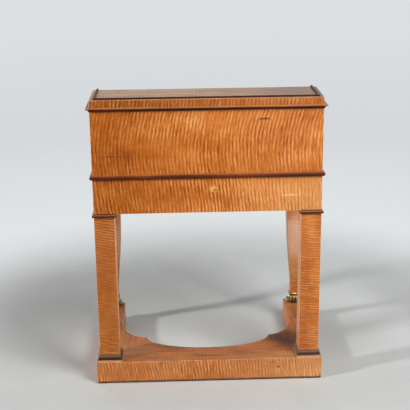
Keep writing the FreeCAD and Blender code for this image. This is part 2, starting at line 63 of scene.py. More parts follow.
class Finish:
    """A finish of wood, metal or leather, laid down as nodes on a material of its own."""

    def __init__(self, name):
        self.material = bpy.data.materials.new(name)
        self.material.use_nodes = True
        self.tree = self.material.node_tree
        self.surface = self.tree.nodes["Principled BSDF"].inputs
        self.place = self.node("TexCoord", [], "Object")
        self.facing = self.node("TexCoord", [], "Normal")

    def node(self, kind, inputs, output=0, **settings):
        """Add a node, feed its inputs with numbers or other nodes' results, and give one result."""
        node = self.tree.nodes.new(f"ShaderNode{kind}")
        for name, setting in settings.items():
            setattr(node, name, setting)
        for number, fed in enumerate(inputs):
            if isinstance(fed, bpy.types.NodeSocket):
                self.tree.links.new(fed, node.inputs[number])
            elif fed is not None:
                node.inputs[number].default_value = fed
        return node.outputs[output]

    def lay(self, part, result):
        """Let a result drive one part of the surface, such as its colour or roughness."""
        self.tree.links.new(result, self.surface[part])

    def keep(self, part, amount):
        """Give one part of the surface the same amount all over."""
        self.surface[part].default_value = amount

    def maths(self, operation, *values):
        """Arithmetic on numbers and results."""
        return self.node("Math", values, operation=operation)

    def times(self, first, second):
        """Two numbers or results, multiplied."""
        return self.maths("MULTIPLY", first, second)

    def total(self, first, *others):
        """Numbers and results, added up."""
        for other in others:
            first = self.maths("ADD", first, other)
        return first

    def swing(self, result, amount):
        """A result about one half, turned into a swing of that amount either side of nothing."""
        return self.times(self.maths("SUBTRACT", result, 0.5), 2 * amount)

    def scale(self, result, least, most, low=0.3, high=0.7):
        """A result carried from low and high, between which most noise lies, to least and most."""
        return self.node("MapRange", [result, low, high, least, most])

    def step(self, result, none, full):
        """Nothing up to one value of a result, one from another value on, and smooth between them."""
        return self.node("MapRange", [result, none, full], interpolation_type="SMOOTHSTEP")

    def either(self, share, first, second):
        """One number where a share is nothing, and another where it is one."""
        return self.node("Mix", [share, None, first, second])

    def parts(self, where):
        """The x, y and z of a place, or of the way that a face looks."""
        return list(self.node("SeparateXYZ", [where]).node.outputs)

    def stretch(self, where, amounts):
        """A place whose x, y and z are multiplied by an amount each."""
        return self.node("VectorMath", [where, amounts], operation="MULTIPLY")

    def reach(self, centre, amounts):
        """How far a point lies from a centre, with each axis stretched."""
        away = self.node("VectorMath", [self.place, centre], operation="SUBTRACT")
        return self.node("VectorMath", [self.stretch(away, amounts)], "Value", operation="LENGTH")

    def noise(self, where, swells, detail):
        """Soft noise about one half, with so many swells to the metre along each axis."""
        return self.node("TexNoise", [self.stretch(where, swells), None, 1.0, detail])

    def mottle(self, swells, detail):
        """Soft noise that is alike along every axis of the piece."""
        return self.noise(self.place, (swells, swells, swells), detail)

    def ramp(self, result, *stops):
        """Colours that run into each other, each given with the result at which it stands."""
        node = self.tree.nodes.new("ShaderNodeValToRGB")
        elements = node.color_ramp.elements
        while len(elements) < len(stops):
            elements.new(0.5)
        for element, (position, colour) in zip(elements, stops):
            element.position = position
            element.color = colour
        self.tree.links.new(result, node.inputs[0])
        return node.outputs[0]

    def mix(self, share, first, second, blend="MIX"):
        """One colour over another, or blended with it."""
        inputs = [share, None, None, None, None, None, first, second]
        colour_result = 2
        return self.node("Mix", inputs, colour_result, data_type="RGBA", blend_type=blend)

    def bump(self, height, depth):
        """Let a height from 0 to 1 raise the surface by a depth in metres."""
        self.lay("Normal", self.node("Bump", [1.0, depth, None, height]))


GRAIN_SHIFT = (0.731, 1.373, 2.117)
SIDE_TURN = 0.2


def grain_place(finish, upright, seed):
    """Place in the wood as (along the grain, across it, across it), shifted by a seed for each board.

    Level grain runs along the back and front faces, and turns at the corners to run along the sides.
    """
    x, y, z = finish.parts(finish.place)
    if upright:
        place = [z, x, y]
    else:
        turn = [finish.maths("ABSOLUTE", part) for part in finish.parts(finish.facing)[:2]]
        side_face = finish.maths("GREATER_THAN", finish.maths("SUBTRACT", *turn), SIDE_TURN)
        place = [finish.either(side_face, x, y), finish.either(side_face, y, x), z]
    shift = tuple(part * seed for part in GRAIN_SHIFT)
    return finish.node("VectorMath", [finish.node("CombineXYZ", place), shift], operation="ADD")


BAR_LEVEL, BAR_SHARPNESS = 0.38, 2.2
ODD_BARS_LIMIT = 0.14


def curl_bars(finish, where, rise, spacing, lean, bow):
    """Light and shade of the curl, about nothing: narrow dark bars across the grain.

    rise is the place along the bars, over which they lean and bow. They drift and quiver besides, are
    strong in some patches and weak in others, and have odd wide and fine bars among them.
    """
    along, across, height = finish.parts(where)
    tilt = finish.times(rise, lean)
    bend = finish.times(finish.times(rise, rise), bow)
    drift = finish.swing(finish.noise(where, swells=(5, 5, 5), detail=1.0), amount=0.008)
    quiver = finish.swing(finish.noise(where, swells=(60, 40, 40), detail=2.0), amount=0.0036)
    curl_along = finish.total(along, tilt, bend, drift, quiver)
    curl_place = finish.node("CombineXYZ", [curl_along, across, height])
    turns = finish.times(curl_along, 2 * math.pi / spacing)
    crest = finish.maths("MULTIPLY_ADD", finish.maths("SINE", turns), 0.5, 0.5)
    patchy = finish.noise(curl_place, swells=(40, 30, 30), detail=1.0)
    patches = finish.scale(patchy, least=0.2, most=1.0, low=0.35, high=0.65)
    bars = finish.maths("SUBTRACT", BAR_LEVEL, finish.maths("POWER", crest, BAR_SHARPNESS))
    even_bars = finish.times(bars, patches)
    odd_noise = finish.noise(curl_place, swells=(2.0 / spacing, 22, 22), detail=1.0)
    odd_bars = finish.maths("MINIMUM", finish.swing(odd_noise, amount=0.8), ODD_BARS_LIMIT)
    fine_noise = finish.noise(curl_place, swells=(4.5 / spacing, 60, 60), detail=1.0)
    fine_bars = finish.swing(fine_noise, amount=0.4)
    wide_patches = finish.noise(where, swells=(6, 9, 9), detail=1.0)
    strength = finish.scale(wide_patches, least=0.55, most=1.0, low=0.34, high=0.6)
    return finish.times(finish.total(even_bars, odd_bars, fine_bars), strength)


FAINT_CURL = 0.3


def dull_top(finish, where, curl, clouds, upper, mitre):
    """Colour of the upward faces, whose polish is dull, so that streaks along the grain show most.

    mitre is how far the end of such a face lies out to the side of the mitre, where the grain turns.
    """
    streak_place = where
    if mitre is not None:
        x, y, _ = finish.parts(finish.place)
        past = finish.maths("SUBTRACT", finish.maths("SUBTRACT", finish.maths("ABSOLUTE", x), y), mitre)
        turned = finish.maths("GREATER_THAN", past, 0.0)
        along, across, height = finish.parts(where)
        place = [finish.either(turned, along, across), finish.either(turned, across, along), height]
        streak_place = finish.node("CombineXYZ", place)
    streaks = finish.swing(finish.noise(streak_place, swells=(12, 190, 190), detail=3.0), amount=0.9)
    bands = finish.swing(finish.noise(streak_place, swells=(9, 34, 34), detail=3.0), amount=0.75)
    shade = finish.total(0.5, finish.times(curl, FAINT_CURL), clouds, streaks, bands)
    dull = finish.ramp(shade, (0.0, deepen(upper, 0.5)), (0.5, upper), (1.0, deepen(upper, 1.6)))
    if mitre is not None:
        joint = finish.step(finish.maths("ABSOLUTE", past), none=0.0016, full=0.0006)
        dull = finish.mix(finish.times(joint, 0.6), dull, deepen(upper, 0.35))
    return dull


def mark(centre, half, colour, share, blur=0.45, ragged=1.1, blend="MIX", facing=None):
    """A stain, scratch, painted sheen or painted shade: its centre and half sizes on the desk, its colour
    and its strength.

    blur and ragged are how vague and how uneven its edge is, as shares of its size. facing limits it
    to the faces that look that way.
    """
    return centre, half, colour, share, blur, ragged, blend, facing


def with_mark(finish, colour, centre, half, mark_colour, share, blur, ragged, blend, facing):
    """The colour of a veneer with one mark on it."""
    reach = finish.reach(centre, tuple(1 / size for size in half))
    edge = finish.total(reach, finish.swing(finish.mottle(190, detail=3.0), ragged))
    cover = finish.step(edge, none=1 + blur, full=1 - blur)
    if facing:
        turned_to = finish.node("VectorMath", [finish.facing, facing], "Value", operation="DOT_PRODUCT")
        cover = finish.times(cover, finish.step(turned_to, none=0.3, full=0.8))
    return finish.mix(finish.times(cover, share), colour, mark_colour, blend)


MAPLE_DARK, MAPLE_MIDDLE, MAPLE_PALE = tint(128, 50, 4), tint(195, 107, 32), tint(240, 170, 104)
DUST_AND_SHEEN_GREY = tint(206, 172, 140)
VENEER_RELIEF, CURL_RELIEF = 0.00015, 0.5


def curly_maple(name, seed, upright=False, tone=1.0, spacing=0.0118, lean=0.0, bow=0.0, bow_level=0.0,
                figure=0.58, upper=None, upper_roughness=0.36, mitre=None, dust_and_sheen=0.0, coat=0.0, marks=()):
    """French-polished curly maple: narrow dark bars of curl across the grain, fine fibres along it.

    tone darkens a board; spacing is from bar to bar; lean and bow tilt and bend the bars over the face,
    the bow about a level; figure is how strongly the bars show. upper and upper_roughness are the colour
    and roughness of the upward faces, and mitre is where their grain turns. dust_and_sheen is how far
    dust, handling and painted sheen grey the polish; coat is how glassy it still is.
    """
    finish = Finish(name)
    where = grain_place(finish, upright, seed)
    _, across, height = finish.parts(where)
    _, across_shift, height_shift = (part * seed for part in GRAIN_SHIFT)
    if upright:
        rise = finish.maths("SUBTRACT", across, across_shift)
    else:
        rise = finish.maths("SUBTRACT", height, bow_level + height_shift)
    curl = curl_bars(finish, where, rise, spacing, lean, bow)
    clouds = finish.swing(finish.noise(where, swells=(5, 14, 14), detail=3.0), amount=0.34)
    fibres = finish.swing(finish.noise(where, swells=(40, 900, 900), detail=2.0), amount=0.1)
    shade = finish.total(0.5, finish.times(curl, figure), clouds, fibres)
    colour = finish.ramp(shade, (0.0, deepen(MAPLE_DARK, tone)), (0.5, deepen(MAPLE_MIDDLE, tone)),
                         (1.0, deepen(MAPLE_PALE, tone)))
    smears = finish.noise(where, swells=(14, 20, 20), detail=3.0)
    roughness = finish.scale(smears, least=0.3, most=0.42)
    if upper:
        upward = finish.step(finish.parts(finish.facing)[2], none=0.2, full=0.75)
        colour = finish.mix(upward, colour, dull_top(finish, where, curl, clouds, upper, mitre))
        roughness = finish.either(upward, roughness, upper_roughness)
    # A pale veil that is partly dust and partly painted sheen.
    if dust_and_sheen:
        grey_veil = finish.scale(finish.mottle(11, detail=4.0), least=0.4 * dust_and_sheen, most=1.6 * dust_and_sheen)
        colour = finish.mix(grey_veil, colour, DUST_AND_SHEEN_GREY)
    for each in marks:
        colour = with_mark(finish, colour, *each)
    finish.lay("Base Color", colour)
    finish.lay("Roughness", roughness)
    finish.bump(finish.total(finish.times(curl, CURL_RELIEF), fibres), VENEER_RELIEF)
    finish.keep("Specular IOR Level", 0.26)
    finish.keep("Coat Weight", coat)
    finish.keep("Coat Roughness", 0.16)
    return finish.material


def worn_edge(name, dull, pale, joint=None):
    """The arris of a polished board, where rubbing has taken the colour down in patches.

    At a joint with the next board, a depth on the desk, the arris is only a dark line.
    """
    finish = Finish(name)
    rubbed = finish.mottle(45, detail=3.0)
    colour = finish.ramp(rubbed, (0.35, dull), (0.65, pale))
    if joint is not None:
        away = finish.maths("SUBTRACT", finish.parts(finish.place)[1], joint)
        seam = finish.step(finish.maths("ABSOLUTE", away), none=0.003, full=0.002)
        colour = finish.mix(seam, colour, deepen(dull, 0.45))
    finish.lay("Base Color", colour)
    finish.lay("Roughness", finish.scale(rubbed, least=0.3, most=0.5))
    finish.bump(rubbed, 0.0003)
    return finish.material


EASED_STEPS = 2
SHARP_ANGLE = math.radians(40)
WELD_REACH = 0.00001


def polish(board, face, edge, edge_width):
    """Put the finish on a board and ease its arrises, which take the worn finish."""
    board.data.materials.clear()
    board.data.materials.append(face)
    board.data.materials.append(edge)
    ease = board.modifiers.new("eased_arrises", "BEVEL")
    ease.width = edge_width
    ease.segments = EASED_STEPS
    ease.limit_method = "ANGLE"
    ease.angle_limit = SHARP_ANGLE
    ease.material = board.data.materials.find(edge.name)
    board.modifiers.new("even_shading", "WEIGHTED_NORMAL")


def dress(node, face, edge, edge_width):
    """Polish a CAD board, whose faces are first joined along their edges."""
    board = nodes[node]
    weld = board.modifiers.new("joined_faces", "WELD")
    weld.merge_threshold = WELD_REACH
    polish(board, face, edge, edge_width)


BASE_LOW, BASE_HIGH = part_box("base_rear_rail")
BASE_BACK, BASE_TOP = 0.271, 0.081
BOARD_EDGE = 0.0012
RUBBED_MAPLE = (tint(186, 108, 52), tint(232, 176, 122))
BASE_EDGE = worn_edge("rubbed_base_edge", *RUBBED_MAPLE, joint=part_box("base_left_rail")[1].y)
UPWARD = (0, 0, 1)
ALL_OVER = 9  # a half size, in metres, that takes in the whole desk
SOFT_WIDE_EDGE = dict(blur=0.85, ragged=0.3)


def paler(centre, half, share):
    """A wide part of a veneer painted paler than the rest: painted sheen."""
    return mark(centre, half, tint(141, 127, 89), share, blend="ADD", **SOFT_WIDE_EDGE)


def level_band(level, half, colour, share, blur, ragged):
    """A mark that goes round a piece at one level of the desk."""
    return mark((0, 0, level), (ALL_OVER, ALL_OVER, half), colour, share, blur=blur, ragged=ragged)


# The first mark is a dark band along the foot; the second is painted shadow beside one pilaster.
base_marks = [level_band(BASE_LOW.z, 0.0042, tint(78, 42, 22), 0.85, blur=0.3, ragged=0.35),
              mark((-0.295, 0.1, BASE_TOP), (0.076, 0.06, 0.03), tint(74, 40, 18), 0.78,
                   blur=0.55, ragged=0.4, facing=UPWARD),
              mark((0.29, 0.17, BASE_TOP), (0.07, 0.05, 0.03), tint(178, 134, 96), 0.4,
                   blur=0.8, ragged=1.0, facing=UPWARD)]
# The first mark is painted sheen towards one end; the other two are small stains.
rear_stains_and_sheen = [paler((-0.4, BASE_BACK, 0.04), (0.2, 0.05, 0.1), 0.55),
               mark((-0.241, BASE_BACK, 0.049), (0.0045, 0.02, 0.004), tint(120, 62, 24), 0.8),
               mark((-0.221, BASE_BACK, 0.067), (0.0075, 0.02, 0.0045), tint(132, 70, 30), 0.6)]


def base_rail(place, seed, lean=0.0, stains_and_sheen=()):
    """Dress one rail, greyed by dust and painted sheen and dull on top, where its veneer is mitred from
    the rear corners.
    """
    maple = curly_maple(f"base_{place}_maple", seed, tone=0.94, spacing=0.0108, lean=lean,
                        upper=tint(154, 86, 32), upper_roughness=0.55, mitre=BASE_HIGH.x - BASE_HIGH.y,
                        dust_and_sheen=0.08, marks=[*stains_and_sheen, *base_marks])
    dress(f"base_{place}_rail", maple, BASE_EDGE, BOARD_EDGE)


base_rail("rear", 1, lean=-0.12, stains_and_sheen=rear_stains_and_sheen)
base_rail("left", 2)
base_rail("right", 3)

# Floor pads: four low squares of dark stained wood glued under the corners of the base, which
# they hold just clear of the floor.
DARK_DEEP, DARK_MIDDLE, DARK_PALE = tint(40, 12, 1), tint(88, 34, 5), tint(126, 60, 20)


def dark_wood(name, seed, paler_faces=None, tone=1.0):
    """Close-grained reddish brown hardwood, polished; faded is the colour of its upward faces."""
    finish = Finish(name)
    where = grain_place(finish, False, seed)
    streaks = finish.swing(finish.noise(where, swells=(5, 130, 130), detail=3.0), amount=0.35)
    pores = finish.noise(where, swells=(60, 1500, 1500), detail=1.0)
    clouds = finish.noise(where, swells=(9, 9, 9), detail=2.0)
    shade = finish.total(0.5, streaks, finish.swing(clouds, amount=0.3), finish.swing(pores, amount=0.15))
    colour = finish.ramp(shade, (0.1, deepen(DARK_DEEP, tone)), (0.5, deepen(DARK_MIDDLE, tone)),
                         (0.9, deepen(DARK_PALE, tone)))
    if paler_faces:
        pale = finish.ramp(shade, (0.1, deepen(paler_faces, 0.6)), (0.5, paler_faces), (0.9, deepen(paler_faces, 1.4)))
        upward = finish.step(finish.parts(finish.facing)[2], none=0.5, full=0.9)
        colour = finish.mix(upward, colour, pale)
    finish.lay("Base Color", colour)
    finish.lay("Roughness", finish.scale(clouds, least=0.36, most=0.52))
    finish.bump(pores, 0.00008)
    finish.keep("Specular IOR Level", 0.16)
    return finish.material


DARK_EDGE = worn_edge("rubbed_dark_edge", tint(88, 40, 16), tint(146, 88, 52))
MOULDING_EDGE = 0.0004
dress("floor_pads", dark_wood("pad_wood", 4), DARK_EDGE, MOULDING_EDGE)

# Rear pilasters: square posts glued and dowelled to the base, veneered with upright grain so that
# the curl lies level across them. Their arrises are rubbed pale and made paler as a painted highlight,
# their inner faces carry a painted sheen, and one is darker low down with painted shade.


def post_maple(name, seed, tone=1.0, lean=-0.12, coat=0.0, marks=()):
    """Maple with upright grain, whose curl is finer than on the boards."""
    return curly_maple(name, seed, upright=True, tone=tone, spacing=0.0092, lean=lean, figure=0.52,
                       dust_and_sheen=0.04, coat=coat, marks=marks)


def darker(centre, half, share):
    """A wide part of a veneer painted darker than the rest: painted shade."""
    return mark(centre, half, tint(226, 214, 166), share, blend="MULTIPLY", **SOFT_WIDE_EDGE)


BODY_BACK = 0.259
# Rubbed arrises, paler and wider than on the boards as a painted highlight.
POST_EDGE_WEAR_AND_HIGHLIGHT = worn_edge("post_edge_wear_and_highlight", tint(226, 168, 110), tint(250, 220, 174))
POST_EDGE_WIDTH = 0.003
POST_VENEERS = {"left": dict(seed=5, tone=1.0, lean=-0.1), "right": dict(seed=6, tone=0.9, lean=-0.2)}
INNER_PAINTED_SHEEN = {"left": dict(facing=(1, 0, 0), share=0.2),
                  "right": dict(facing=(-1, 0, 0), share=0.35)}
# Painted shade darkens the lower part of one pilaster and its plinth.
post_painted_shade = [darker((0.346, BODY_BACK, 0.1), (0.2, 0.2, 0.26), 0.8)]
for side, veneer in POST_VENEERS.items():
    # Painted sheen on each pilaster's inner face.
    paler_faces = mark((0, 0.227, 0.35), (ALL_OVER, ALL_OVER, 0.5), tint(246, 214, 170),
                 blur=0.5, ragged=0.2, **INNER_PAINTED_SHEEN[side])
    post = post_maple(f"{side}_pilaster_maple", marks=post_painted_shade + [paler_faces], **veneer)
    dress(f"rear_pilaster_{side}", post, POST_EDGE_WEAR_AND_HIGHLIGHT, POST_EDGE_WIDTH)

# Plinth mouldings: coved strips of maple round the foot of each pilaster, mitred and glued. The hollow
# is brown, with a black-brown line above the pale lower edge.


def dress_strips(node, face, edge, edge_width, body="carcass"):
    """Polish a CAD piece of several glued strips, each with arrises of its own at the joints.

    The CAD mesh gives one strip after the other, and a strip is complete once its faces close up.
    """
    mesh = nodes[node].data
    points, faces = [], []
    met, unmatched = {}, set()
    for polygon in mesh.polygons:
        corners = [mesh.vertices[number].co.to_tuple(6) for number in polygon.vertices]
        for corner in corners:
            if corner not in met:
                met[corner] = len(points)
                points.append(corner)
        faces.append([met[corner] for corner in corners])
        for start, end in zip(corners, corners[1:] + corners[:1]):
            if (end, start) in unmatched:
                unmatched.remove((end, start))
            else:
                unmatched.add((start, end))
        if not unmatched:
            met = {}
    strips = bpy.data.meshes.new(f"{node}_strips")
    strips.from_pydata(points, [], faces)
    strips.shade_smooth()
    piece = bpy.data.objects.new(f"{node}_strips", strips)
    bpy.context.scene.collection.objects.link(piece)
    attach(piece, body)
    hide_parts(node)
    polish(piece, face, edge, edge_width)


MAPLE_EDGE = worn_edge("rubbed_maple_edge", *RUBBED_MAPLE)
PALE_FOOT_HALF = 0.005
STAIN_LEVEL, STAIN_HALF = 0.0175, 0.0085
LINE_LEVEL, LINE_HALF = 0.0118, 0.0042
for side, veneer in POST_VENEERS.items():
    node = f"plinth_moulding_{side}"
    foot_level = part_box(node)[0].z
    bands = [level_band(foot_level, PALE_FOOT_HALF, tint(208, 164, 122), 0.85, blur=0.3, ragged=0.1),
             level_band(foot_level + STAIN_LEVEL, STAIN_HALF, tint(106, 74, 48), 0.92,
                        blur=0.35, ragged=0.15),
             level_band(foot_level + LINE_LEVEL, LINE_HALF, tint(36, 20, 6), 1.0, blur=0.2, ragged=0.0)]
    plinth_maple = post_maple(f"{side}_plinth_maple", marks=post_painted_shade + bands, **veneer)
    dress_strips(node, plinth_maple, MAPLE_EDGE, BOARD_EDGE / 4)

# Capital mouldings: strips of dark hardwood under the apron, with a band and a hollow above it.
# They are mitred and glued round the head of each support.
capital_wood = dark_wood("capital_wood", 8, paler_faces=tint(142, 98, 68))
for side in ("left", "right"):
    dress_strips(f"rear_capital_{side}", capital_wood, DARK_EDGE, MOULDING_EDGE)
    dress_strips(f"front_capital_{side}", capital_wood, DARK_EDGE, MOULDING_EDGE)

# Front legs: solid console legs sawn to an S and veneered with upright grain. Their heads are glued
# under the corners of the apron. Painted light makes their rear faces paler, with a painted sheen above.
BACKWARD = (0, 1, 0)
LEG_PAINTED_LIGHT = {"left": dict(seed=9, rear_sheen=0.64, shin=0.7), "right": dict(seed=10, rear_sheen=0.4, shin=0.25)}
for side, pale in LEG_PAINTED_LIGHT.items():
    # Painted light on the rear faces low down, and a paler painted sheen higher up.
    shin = mark((0, -0.2, 0.275), (ALL_OVER, 0.5, 0.075), tint(202, 136, 90), pale["shin"],
                blur=0.7, ragged=0.3, blend="SCREEN", facing=BACKWARD)
    rear_sheen = mark((0, -0.2, 0.371), (ALL_OVER, 0.5, 0.074), tint(228, 186, 156), pale["rear_sheen"],
                 blur=0.4, ragged=0.2, facing=BACKWARD)
    leg = post_maple(f"{side}_leg_maple", pale["seed"], coat=0.3, marks=[shin, rear_sheen])
    dress(f"front_leg_{side}", leg, MAPLE_EDGE, BOARD_EDGE)

# Cast feet: gilt metal shoes under the front legs, pinned to the base. Each is cast hollow, with a
# rim round the ankle, a plain band and a row of leaf tips over a hollow, and chased after casting.
HOLLOW_REACH = 0.007
GILT_TONES = ((0.35, tint(14, 12, 7)), (0.62, tint(48, 43, 26)),
              (0.86, tint(104, 93, 56)), (1.0, tint(196, 180, 128)))


def gilt_metal(name, rubbed=0.0):
    """Worn gilding, bright on what stands out, with dark dirt in the hollows.

    rubbed is how clean it is kept by handling.
    """
    finish = Finish(name)
    tarnish = finish.mottle(140, detail=4.0)
    open_air = finish.node("AmbientOcclusion", [None, HOLLOW_REACH], "AO", samples=8)
    cleaned = finish.total(open_air, rubbed, finish.swing(tarnish, amount=0.25))
    finish.lay("Base Color", finish.ramp(cleaned, *GILT_TONES))
    finish.lay("Roughness", finish.scale(cleaned, least=0.6, most=0.26, low=0.3, high=1.0))
    finish.bump(tarnish, 0.00025)
    finish.keep("Metallic", 1.0)
    return finish.material


def mesh_piece(name, build, finish, body):
    """Make a smooth mesh piece with a building function and let it ride on a body."""
    shape = bmesh.new()
    build(shape)
    bmesh.ops.recalc_face_normals(shape, faces=shape.faces)
    mesh = bpy.data.meshes.new(name)
    shape.to_mesh(mesh)
    shape.free()
    mesh.shade_smooth()
    mesh.materials.append(finish)
    piece = bpy.data.objects.new(name, mesh)
    bpy.context.scene.collection.objects.link(piece)
    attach(piece, body)
    return piece


def skin(shape, rings):
    """Join rings of equally many points into one skin, capped at its ends."""
    loops = [[shape.verts.new(point) for point in ring] for ring in rings]
    count = len(loops[0])
    for low, high in zip(loops, loops[1:]):
        for number in range(count):
            after = (number + 1) % count
            shape.faces.new((low[number], low[after], high[after], high[number]))
    shape.faces.new(reversed(loops[0]))
    shape.faces.new(loops[-1])


FOOT_POINTS, FOOT_LEVELS, FOOT_LEAVES = 192, 72, 14
RECESS_TOP, LEAF_TOP, RIM_BOTTOM = 0.009, 0.029, 0.0405
RECESS_DEPTH, LEAF_PARTING, BAND_HOLLOW = 0.0055, 0.0062, 0.0007
LEAF_SWELL, RIM_SWELL = 0.0018, 0.0034
LEAF_SQUARENESS, BAND_SQUARENESS = 5, 7
FLARE_POWER, TOE_POWER, NOTCH_POWER, PARTING_POWER = 1.5, 0.8, 0.7, 0.6
ANKLE_REACH = 0.0001


def swelling(share, fullness):
    """A rounded rise and fall over a share from 0 to 1, fuller with a lower power."""
    return math.sin(math.pi * share) ** fullness


def cast_foot(side):
    """Building function for the foot of one side, within the box that its CAD solid fills."""
    low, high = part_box(f"front_foot_{side}")
    leg_low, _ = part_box(f"front_leg_{side}")
    leg_points = [vertex.co for vertex in nodes[f"front_leg_{side}"].data.vertices]
    ankle = [point for point in leg_points if point.z < leg_low.z + ANKLE_REACH]
    ankle_low = Vector((min(point.x for point in ankle), min(point.y for point in ankle)))
    ankle_high = Vector((max(point.x for point in ankle), max(point.y for point in ankle)))
    foot_height = high.z - low.z

    def outline(level):
        """How far the foot stands out at a level above the base, and how deep its leaves part there."""
        if level < RECESS_TOP:
            return -RECESS_DEPTH, 0.0
        if level < LEAF_TOP:
            share = (level - RECESS_TOP) / (LEAF_TOP - RECESS_TOP)
            swell = LEAF_SWELL * swelling(0.06 + 0.94 * share, fullness=0.5)
            return swell, LEAF_PARTING * (1 - share) ** PARTING_POWER
        if level < RIM_BOTTOM:
            share = (level - LEAF_TOP) / (RIM_BOTTOM - LEAF_TOP)
            return -BAND_HOLLOW * swelling(share, fullness=0.7), 0.0
        share = (level - RIM_BOTTOM) / (foot_height - RIM_BOTTOM)
        return RIM_SWELL * swelling(0.1 + 0.8 * share, fullness=0.5), 0.0

    def ring(step):
        """Points round the foot at one of its levels, flared towards the toe at the bottom."""
        level = foot_height * step / FOOT_LEVELS
        flare = (1 - step / FOOT_LEVELS) ** FLARE_POWER
        swell, parting = outline(level)
        squareness = BAND_SQUARENESS if parting == 0 else LEAF_SQUARENESS
        y_low = ankle_low.y + (low.y - ankle_low.y) * flare - swell
        y_high = ankle_high.y + swell
        points = []
        for number in range(FOOT_POINTS):
            angle = 2 * math.pi * number / FOOT_POINTS
            across, along = math.cos(angle), math.sin(angle)
            out = (abs(across) ** squareness + abs(along) ** squareness) ** (-1 / squareness)
            toeward = flare * (0.5 - 0.5 * max(-1, min(1, along * out))) ** TOE_POWER
            x_low = ankle_low.x + (low.x - ankle_low.x) * toeward - swell
            x_high = ankle_high.x + (high.x - ankle_high.x) * toeward + swell
            half_x, half_y = (x_high - x_low) / 2, (y_high - y_low) / 2
            notch = 1 - abs(math.cos(FOOT_LEAVES * angle / 2)) ** NOTCH_POWER
            reach = out * (1 - notch * parting / min(half_x, half_y))
            points.append(((x_low + x_high) / 2 + half_x * across * reach,
                           (y_low + y_high) / 2 + half_y * along * reach, low.z + level))
        return points

    def build(shape):
        skin(shape, [ring(step) for step in range(FOOT_LEVELS + 1)])
    return build


FOOT_GILT = gilt_metal("worn_gilt")
for side in ("left", "right"):
    foot = mesh_piece(f"cast_foot_{side}", cast_foot(side), FOOT_GILT, "carcass")
    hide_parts(f"front_foot_{side}")

# Apron: back panel, sides and front stiles in curly maple with level grain, glued at the corners.
# A thin rail closes it under the frieze drawer.
# The last two marks are painted sheen towards one end and painted shade towards the other.
apron_stains_and_painted_light = [mark((-0.019, BODY_BACK, 0.697), (0.012, 0.02, 0.010), tint(240, 176, 104), 0.8),
                mark((-0.023, BODY_BACK, 0.694), (0.004, 0.02, 0.005), tint(138, 70, 22), 0.8),
                mark((-0.273, BODY_BACK, 0.671), (0.023, 0.02, 0.004), tint(240, 180, 128), 0.45),
                paler((-0.4, BODY_BACK, 0.66), (0.2, 0.05, 0.14), 0.6),
                darker((0.4, BODY_BACK, 0.67), (0.24, 0.05, 0.2), 0.9)]
apron_back = curly_maple("apron_back_maple", 11, lean=-0.1, marks=apron_stains_and_painted_light)
dress("apron_back_panel", apron_back, MAPLE_EDGE, BOARD_EDGE)
APRON_BOARDS = ("left_side", "right_side", "left_stile", "right_stile", "front_rail")


def plain_board(node, seed):
    """Dress a maple board that has no marks of its own and finely eased arrises."""
    dress(node, curly_maple(f"{node}_maple", seed), MAPLE_EDGE, BOARD_EDGE / 2)


for seed, board in enumerate(APRON_BOARDS, start=12):
    plain_board(f"apron_{board}", seed)

# Drawer runners: strips of planed oak screwed inside the apron, each with a guide glued along it
# that keeps the frieze drawer straight.
OAK_TONES = ((0.2, tint(126, 88, 52)), (0.55, tint(172, 132, 84)), (0.85, tint(200, 164, 114)))


def lining_oak(name, seed):
    """Planed oak, never polished: straight brown grain, open pores and pale flecks."""
    finish = Finish(name)
    where = grain_place(finish, False, seed)
    bands = finish.swing(finish.noise(where, swells=(3, 110, 110), detail=3.0), amount=0.5)
    pores = finish.noise(where, swells=(45, 1400, 1400), detail=1.0)
    rays = finish.noise(where, swells=(60, 190, 190), detail=1.0)
    flecks = finish.step(rays, none=0.62, full=0.72)
    shade = finish.total(0.5, bands, finish.swing(pores, amount=0.25))
    wood = finish.ramp(shade, *OAK_TONES)
    finish.lay("Base Color", finish.mix(flecks, wood, tint(206, 172, 124)))
    finish.lay("Roughness", finish.scale(pores, least=0.55, most=0.75))
    finish.bump(pores, 0.0002)
    return finish.material


OAK = lining_oak("drawer_oak", 20)
OAK_EDGE = worn_edge("rubbed_oak_edge", tint(150, 112, 70), tint(196, 160, 114))
for side in ("left", "right"):
    dress(f"drawer_runner_{side}", OAK, OAK_EDGE, BOARD_EDGE / 2)

# Writing top: a maple board that lies on the apron, with a half-round moulding of dark hardwood
# mitred and glued round its edges.
plain_board("writing_top", 21)
top_moulding_wood = dark_wood("writing_top_moulding_wood", 22, paler_faces=tint(150, 86, 48))
dress_strips("writing_top_moulding", top_moulding_wood, DARK_EDGE, MOULDING_EDGE)

# Writing leather: a thin brown skin pasted into a recess of the top, pressed flat, with a plain
# double line tooled in gilt round its margin.
LEATHER_TONES = ((0.3, tint(58, 30, 20)), (0.55, tint(92, 48, 30)), (0.75, tint(126, 72, 46)))
PEBBLES = (900, 900, 900)


def tooled_leather(name):
    """Waxed goatskin with a fine pebbled grain, rubbed paler where hands rest."""
    finish = Finish(name)
    pebble = finish.node("TexVoronoi", [finish.stretch(finish.place, PEBBLES), None, 1.0])
    creases = finish.step(pebble, none=0.5, full=0.0)
    clouds = finish.mottle(9, detail=4.0)
    colour = finish.ramp(clouds, *LEATHER_TONES)
    finish.lay("Base Color", finish.mix(finish.times(creases, 0.2), colour, tint(132, 80, 54)))
    finish.lay("Roughness", finish.scale(clouds, least=0.5, most=0.38))
    finish.bump(creases, 0.00025)
    return finish.material


SHEET_STEPS_X, SHEET_STEPS_Y = 96, 40
SHEET_DROP, EDGE_SAG, SAG_STEEPNESS = 0.0001, 0.00025, 30
SHEET_WAVE, WAVES_X, WAVES_Y = 0.00008, (17, 5), (9, 2)


